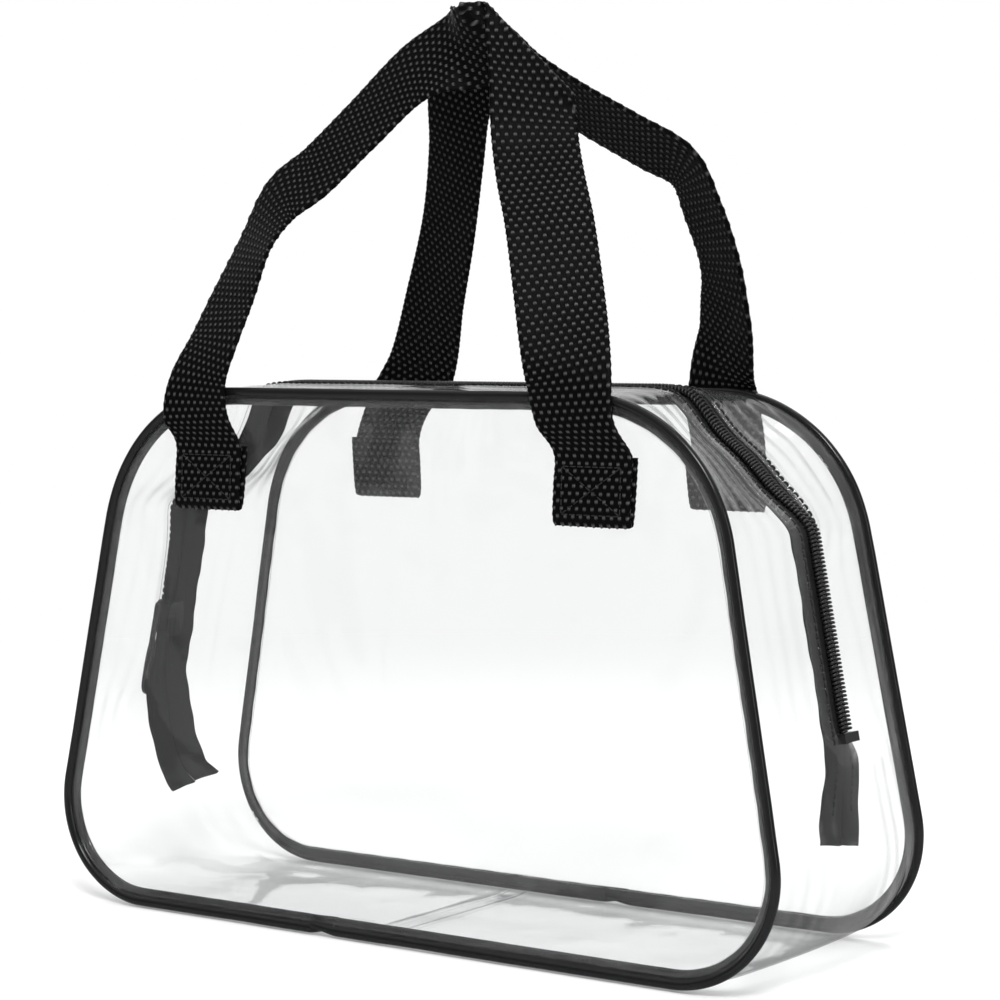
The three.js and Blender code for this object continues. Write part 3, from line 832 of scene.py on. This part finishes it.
# Middle line of each handle above its tabs (x, y, z), and the direction across the webbing there. The
# rear handle is written as if it were at the front and is turned half round.
FRONT_STRAP_LEFT = [
    (-82.5, -45.2, 168, 1, 0, 0),
    (-82.5, -44.5, 179, 0.99, -0.12, 0),
    (-79, -40, 193, 0.97, -0.24, 0),
    (-77, -33, 207, 0.95, -0.3, 0),
    (-72, -25.5, 227, 0.88, -0.46, -0.1),
    (-64, -22, 241, 0.8, -0.42, -0.4),
    (-51, -19.5, 250, 0.78, -0.4, -0.44),
    (-34, -16, 265, 0.78, -0.4, -0.44),
    (-14, -13.5, 281.5, 0.78, -0.36, -0.5),
    (0.9, -12.5, 287.6, 0.76, -0.2, -0.6),
    (10.5, -14.5, 288.3, 0.66, 0.15, -0.72),
    (19.1, -15.3, 287.7, 0.591, 0.368, -0.718),
]
FRONT_STRAP_RIGHT = [
    (31.8, -12.5, 272, 0.68, 0.5, -0.5),
    (34.5, -15, 258, 0.79, 0.57, -0.2),
    (40, -20, 245, 0.815, 0.579, 0),
    (48, -27, 231, 0.82, 0.57, 0),
    (57.5, -35.5, 207, 0.87, 0.48, 0),
    (66.5, -44.3, 184, 0.98, 0.2, 0),
    (69.5, -45.2, 168.5, 1, 0, 0),
]
# The front handle is folded over on itself at its top: middle of the fold, direction along the fold,
# and angle in radians between the fold and the webbing's length.
FOLD_MIDDLE = np.array([27.9, -11, 285.7])
FOLD_AXIS = np.array([0.591, 0.368, -0.718])
FOLD_ANGLE = math.radians(44)
FOLD_RADIUS = 1.5
REAR_STRAP = [
    (-69, -45.0, 171, 1, 0, 0),
    (-69, -44.5, 181, 0.98, -0.2, 0),
    (-73, -40, 193, 0.9, -0.42, 0),
    (-76.5, -33, 207, 0.86, -0.5, 0),
    (-76.5, -29.5, 219, 0.84, -0.54, 0),
    (-73, -25, 235, 0.8, -0.58, -0.16),
    (-68, -21, 249, 0.66, -0.66, -0.36),
    (-53, -17.5, 258, 0.39, -0.73, -0.56),
    (-35, -15, 268, 0.39, -0.73, -0.56),
    (-17, -12.5, 279, 0.39, -0.7, -0.6),
    (-3, -10.5, 287, 0.3, -0.5, -0.8),
    (7, -9.5, 287, -0.2, -0.3, -0.9),
    (15, -13, 276, -0.8, 0, -0.4),
    (21, -19, 257, -0.94, 0.2, -0.26),
    (30, -27, 232, -0.96, 0.26, -0.2),
    (41, -35, 210, -0.97, 0.2, -0.16),
    (55, -44.5, 183, -0.99, 0.02, -0.12),
    (64, -45.0, 172, -1, 0, 0),
]


def folded_top():
    """Middle line over the fold: half a turn of a helix, from the layer behind to the layer in front."""
    toward_front = np.array([0.578, -0.814, 0])
    toward_front -= FOLD_AXIS * np.dot(toward_front, FOLD_AXIS)
    toward_front /= np.linalg.norm(toward_front)
    over = np.cross(toward_front, FOLD_AXIS)
    turn = np.linspace(0, math.pi, 7)[:, None]
    ring = np.sin(turn) * over - np.cos(turn) * toward_front
    along = (turn - math.pi / 2) / math.tan(FOLD_ANGLE) * FOLD_AXIS
    middle = FOLD_MIDDLE + FOLD_RADIUS * (ring + along)
    return [tuple(point) + tuple(FOLD_AXIS) for point in middle]


def tab_layer(z, layer):
    """Distance forward of the middle of the tab's layer: 0 against the face, 1 over it."""
    return -(FOOT_DEPTH / 2 * taper(z) + SHEET / 2 + 1.1 + 1.75 * layer)


def tab_points(x, across, inward_x):
    """The webbing's folded end, from its cut edge down, round the fold and up to the tab's top."""
    fold = TAB_FOOT + 1.5
    rows = [(x + inward_x, tab_layer(158, 0), 158.5), (x + 0.6 * inward_x, tab_layer(148, 0), 148)]
    rows += [(x, tab_layer(fold, 0), fold + 1)]
    rows += [(x, tab_layer(fold, 0.5), TAB_FOOT + 0.6)]
    rows += [(x, tab_layer(fold, 1), fold + 1), (x, tab_layer(150, 1), 150)]
    rows += [(x, tab_layer(159, 1), 159)]
    return [row + (across, 0, 0) for row in rows]


def spline(points, per_span):
    """Centripetal Catmull-Rom curve through rows of points."""
    p = np.vstack([2 * points[0] - points[1], points, 2 * points[-1] - points[-2]])
    span = np.linalg.norm(np.diff(p[:, :3], axis=0), axis=1) ** 0.5
    u = np.linspace(0, 1, per_span, endpoint=False)[:, None]
    stretches = []
    for i in range(1, len(p) - 2):
        before, here, after = span[i - 1 : i + 2]
        leave = (p[i] - p[i - 1]) / before - (p[i + 1] - p[i - 1]) / (before + here)
        leave = (leave + (p[i + 1] - p[i]) / here) * here
        arrive = (p[i + 1] - p[i]) / here - (p[i + 2] - p[i]) / (here + after)
        arrive = (arrive + (p[i + 2] - p[i + 1]) / after) * here
        stretch = p[i] * (2 * u**3 - 3 * u**2 + 1) + leave * (u**3 - 2 * u**2 + u)
        stretch = stretch + p[i + 1] * (3 * u**2 - 2 * u**3) + arrive * (u**3 - u**2)
        stretches.append(stretch)
    return np.vstack(stretches + [points[-1:]])


def resample(curve, step):
    length = np.concatenate([[0], np.cumsum(np.linalg.norm(np.diff(curve[:, :3], axis=0), axis=1))])
    at = np.linspace(0, length[-1], int(length[-1] / step) + 1)
    return np.stack([np.interp(at, length, curve[:, k]) for k in range(curve.shape[1])], 1), at


def yarn_height(column, row):
    """Height of the weave where warp columns and weft rows cross, high over every other crossing."""
    over = np.sin(math.pi * column) * np.sin(math.pi * row)
    return np.where(over > 0, 1.0, 0.3) * np.abs(over) ** 0.7


def webbing_handle(name, tab_x, strap, turn, material, fold=None):
    """A handle in one length of webbing, with both ends folded under into its tabs.

    Near a fold the rows of points run along the fold, and the weave is still laid out square.
    """
    left_end = tab_points(-tab_x, 1, 1.5)
    right_end = tab_points(tab_x, strap[-1][3], 1)[::-1]
    curve = spline(np.array(left_end + strap + right_end, float), 30)
    per_row = 3
    path, at = resample(curve, WEFT_STEP / per_row)
    weft_step = at[1] * per_row
    centre, across = path[:, :3], path[:, 3:]
    tangent = np.gradient(centre, axis=0)
    tangent /= np.linalg.norm(tangent, axis=1, keepdims=True)
    oblique = np.zeros((len(at), 1))
    if fold is not None:
        fold_at = at[np.argmin(np.linalg.norm(centre - fold, axis=1))]
        oblique = 1 - smoothstep(np.abs(at - fold_at), 5, 34)[:, None]
    squared = smoothstep(centre[:, 2], TAB_TOP, TAB_TOP + 30)[:, None] * (1 - oblique)
    across /= np.linalg.norm(across, axis=1, keepdims=True)
    side = across - squared * tangent * np.sum(across * tangent, 1, keepdims=True)
    side /= np.linalg.norm(side, axis=1, keepdims=True)
    face = np.cross(tangent, side)
    steepness = np.linalg.norm(face, axis=1, keepdims=True)
    face /= steepness
    lean = np.sum(side * tangent, 1, keepdims=True)

    column = np.linspace(0, WARP_COLUMNS, 2 * WARP_COLUMNS + 1)[None]
    u = (column / WARP_COLUMNS - 0.5) * WEBBING_WIDTH
    reach = u / (1 + oblique * (steepness - 1))
    length = at[:, None] + oblique * lean * reach
    row = length / weft_step
    edge = np.clip(np.abs(u) - (WEBBING_WIDTH / 2 - 1), 0, 1)
    scallop = 0.14 * np.sin(2 * math.pi * row) * edge * np.sign(u)
    sag = 0.12 * waves(u, length, 3, 6, 10, 50)
    half = WEBBING_CORE / 2 * (1 - 0.5 * edge**2)
    top = half + YARN_RELIEF * yarn_height(column, row)
    bottom = -half - YARN_RELIEF * yarn_height(column + 1, row)

    def surface(height):
        offset = side[:, None] * (reach + scallop)[..., None] + face[:, None] * (height + sag)[..., None]
        return centre[:, None] + offset

    grid = np.concatenate([surface(top), surface(bottom)[:, ::-1]], 1)
    grid[..., :2] *= turn
    parts = Parts()
    parts.add(grid, round_columns=True, caps=True)
    obj = parts.build(name, material)
    yarns = np.broadcast_to(column, row.shape)
    place = np.concatenate([yarns, yarns[:, ::-1] + 1], 1)
    add_uv(obj, np.stack([place, np.concatenate([row, row[:, ::-1]], 1)], -1))
    return obj


def tab_stitching(name, x, turn, material):
    """A sewn box with a cross through it."""
    half, low, high = 10.6, TAB_FOOT + 3.8, TAB_FOOT + 18.4
    corners = [(-half, low), (half, low), (half, high), (-half, high)]
    lines = list(zip(corners, corners[1:] + corners[:1]))
    lines += [(corners[0], corners[2]), (corners[1], corners[3])]
    parts = Parts()
    for start, end in lines:
        start, end = np.array(start), np.array(end)
        length = np.linalg.norm(end - start)
        count = round(length / STITCH_STEP)
        for k in range(count):
            places = start + (end - start) * np.array([[k + 0.12], [k + 0.9]]) / count
            ends = [(x + p[0], tab_layer(p[1], 1) - 0.78, p[1]) for p in places]
            stitch(parts, *ends, (0, -1, 0), 0.22)
    for block in parts.points:
        block[:, :2] *= turn
    return parts.build(name, material)


# ---------------------------------------------------------------- putting it together

vinyl = clear_vinyl()
piping_black = black_vinyl()
tape_black = tape_cloth()
coil_nylon = dark_plain("zip_coil", (0.012, 0.012, 0.013), 0.25, 0.45, 600)
metal = dark_plain("black_metal", (0.03, 0.03, 0.032), 0.22, 0.42, 300, 0.6)
thread = dark_plain("thread", (0.01, 0.01, 0.011), 0.45, 0.7, 2500)
webbing_black = webbing_cloth()

# Fold lines pressed into the faces: start, end, height and half width.
FRONT_CREASES = [
    ((-100, 60), (-40, 22), 0.6, 2.2),
    ((-96, 20), (-20, 26), 0.8, 2.0),
    ((-10, 30), (52, 12), 0.7, 2.0),
    ((60, 120), (96, 140), 0.6, 2.4),
    ((-60, 8), (-38, 34), 0.5, 2.4),
    ((88, 30), (118, 60), 0.7, 2.4),
]
REAR_CREASES = [
    ((-90, 50), (-30, 30), 0.6, 2.4),
    ((20, 24), (100, 40), 0.7, 2.2),
    ((-40, 140), (30, 150), 0.5, 2.6),
]

dress(face_panel("front_face", 1, 11, vinyl, FRONT_CREASES), "bag_body", "clear_vinyl", "front_panel")
dress(face_panel("rear_face", -1, 23, vinyl, REAR_CREASES), "bag_body", "clear_vinyl", "rear_panel")
dress(gusset(vinyl), "bag_body", "clear_vinyl", "gusset_band")
dress(piping("front_cord", 1, 5, piping_black), "bag_body", "black_piping", "front_piping")
dress(piping("rear_cord", -1, 9, piping_black), "bag_body", "black_piping", "rear_piping")
for place, side in (("front", -1), ("rear", 1)):
    tape = zip_tape(f"{place}_tape", side, tape_black)
    dress(tape, "bag_body", "zip_tape", f"{place}_zip_tape")
    coil = zip_coil(f"{place}_coil", side, coil_nylon)
    dress(coil, "bag_body", "zip_coil", f"{place}_zip_coil")
dress(zip_stitching(thread), "bag_body", "thread", "zip_stitching")

FRONT_STRAP = FRONT_STRAP_LEFT + folded_top() + FRONT_STRAP_RIGHT
for place, turn, tab_x, strap, fold in (
    ("front", 1, FRONT_TAB_X, FRONT_STRAP, FOLD_MIDDLE),
    ("rear", -1, REAR_TAB_X, REAR_STRAP, None),
):
    handle = webbing_handle(f"{place}_webbing", tab_x, strap, turn, webbing_black, fold)
    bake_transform(handle)
    tabs = [f"{place}_{hand}_handle_tab" for hand in ("left", "right")]
    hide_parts(f"{place}_handle_strap", *tabs)
    for hand, side in (("left", -1), ("right", 1)):
        stitches = tab_stitching(f"{place}_{hand}_stitches", side * turn * tab_x, turn, thread)
        dress(stitches, "bag_body", "thread", f"{place}_{hand}_tab_stitching")

for name in ("zip_slider", "zip_pull_tab", "left_zip_stop", "right_zip_stop"):
    part = frame["nodes"][name]
    part.data.materials.clear()
    part.data.materials.append(metal)
    rounded = part.modifiers.new("edges", "BEVEL")
    rounded.width = 0.25 * MM
    rounded.segments = 2
    rounded.limit_method = "ANGLE"


# ---------------------------------------------------------------- stage


def floor():
    """Pale floor that takes a soft shadow near the bag and fades into the white background."""
    bpy.ops.mesh.primitive_circle_add(vertices=96, radius=6, fill_type="NGON", location=(0, 0, -0.0006))
    obj = bpy.context.object
    obj.name = "floor"
    material, tree = new_material("floor")
    place = node(tree, "TexCoord").outputs["Object"]
    away = node(tree, "VectorMath", {0: place}, operation="LENGTH").outputs["Value"]
    fade = node(
        tree,
        "MapRange",
        {"Value": away, "From Min": 0.28, "From Max": 0.9},
        interpolation_type="SMOOTHSTEP",
    ).outputs["Result"]
    paper = node(tree, "BsdfDiffuse", {"Color": (0.93, 0.93, 0.93, 1)})
    glow = node(tree, "Emission", {"Color": (1, 1, 1, 1), "Strength": 1.0})
    mixed = node(tree, "MixShader", {0: fade, 1: paper.outputs[0], 2: glow.outputs[0]})
    mirrored = maths(tree, "MULTIPLY", node(tree, "LightPath").outputs["Is Glossy Ray"], 0.6)
    dark = node(tree, "Emission", {"Strength": 0.0})
    whole = node(tree, "MixShader", {0: mirrored, 1: mixed.outputs[0], 2: dark.outputs[0]})
    obj.data.materials.append(finish_material(material, tree, whole.outputs[0]))


def world():
    """White to the camera, nearly white as light; in reflections white behind the bag, dark before it."""
    made = bpy.data.worlds.new("studio")
    made.use_nodes = True
    tree = made.node_tree
    tree.nodes.clear()
    ray = node(tree, "LightPath").outputs
    direction = node(tree, "TexCoord").outputs["Generated"]
    behind = node(
        tree, "VectorMath", {0: direction, 1: (-0.579, 0.815, 0)}, operation="DOT_PRODUCT"
    ).outputs["Value"]
    backdrop = node(
        tree,
        "MapRange",
        {"Value": behind, "From Min": 0.3, "From Max": 0.9, "To Min": 0.06, "To Max": 1.0},
        interpolation_type="SMOOTHSTEP",
    ).outputs["Result"]
    up = node(tree, "SeparateXYZ", {0: direction}).outputs["Z"]
    above = node(
        tree,
        "MapRange",
        {"Value": up, "From Min": 0.45, "From Max": 0.85, "To Min": 0.0, "To Max": 0.7},
        interpolation_type="SMOOTHSTEP",
    ).outputs["Result"]
    mirrored = maths(tree, "MAXIMUM", backdrop, above)
    light = maths(tree, "MULTIPLY", ray["Is Glossy Ray"], mirrored)
    plain = maths(tree, "MULTIPLY", maths(tree, "SUBTRACT", 1.0, ray["Is Glossy Ray"]), 0.95)
    strength = maths(tree, "MAXIMUM", maths(tree, "ADD", light, plain), ray["Is Camera Ray"])
    background = node(tree, "Background", {"Color": (1, 1, 1, 1), "Strength": strength})
    output = node(tree, "OutputWorld")
    tree.links.new(background.outputs[0], output.inputs["Surface"])
    made.cycles.sampling_method = "NONE"
    bpy.context.scene.world = made


def softbox(name, place, size, radiance, target=(0, 0, 0.12)):
    """Rectangular light of a given brightness, aimed at the bag."""
    data = bpy.data.lights.new(name, "AREA")
    data.shape = "RECTANGLE"
    data.size, data.size_y = size
    data.energy = radiance * math.pi * size[0] * size[1]
    obj = bpy.data.objects.new(name, data)
    obj.location = place
    direction = Vector(target) - Vector(place)
    obj.rotation_euler = direction.to_track_quat("-Z", "Y").to_euler()
    bpy.context.scene.collection.objects.link(obj)


def camera():
    """The camera's place round the bag, its distance and what it looks at."""
    azimuth, elevation, distance = math.radians(35.4), math.radians(3.4), 0.910
    back = Vector(
        (
            math.sin(azimuth) * math.cos(elevation),
            -math.cos(azimuth) * math.cos(elevation),
            math.sin(elevation),
        )
    )
    middle = Vector((0, 0, 0.1406))
    beside = Vector((math.cos(azimuth), math.sin(azimuth), 0)) * 0.0086
    data = bpy.data.cameras.new("camera")
    data.lens = 98.6
    data.sensor_width = 36
    data.clip_start, data.clip_end = 0.05, 30
    obj = bpy.data.objects.new("camera", data)
    obj.location = middle + back * distance
    direction = middle + beside - obj.location
    obj.rotation_euler = direction.to_track_quat("-Z", "Y").to_euler()
    bpy.context.scene.collection.objects.link(obj)
    bpy.context.scene.camera = obj


floor()
world()
softbox("key", (0.75, -1.0, 1.35), (0.45, 0.45), 24.0)
softbox("side", (1.9, -0.5, 0.7), (0.2, 1.0), 8.0)
softbox("top", (-0.2, 0.6, 1.9), (1.2, 0.35), 5.0)
camera()

scene = bpy.context.scene
scene.view_settings.view_transform = "Standard"
scene.cycles.transparent_max_bounces = 40
scene.cycles.max_bounces = 10
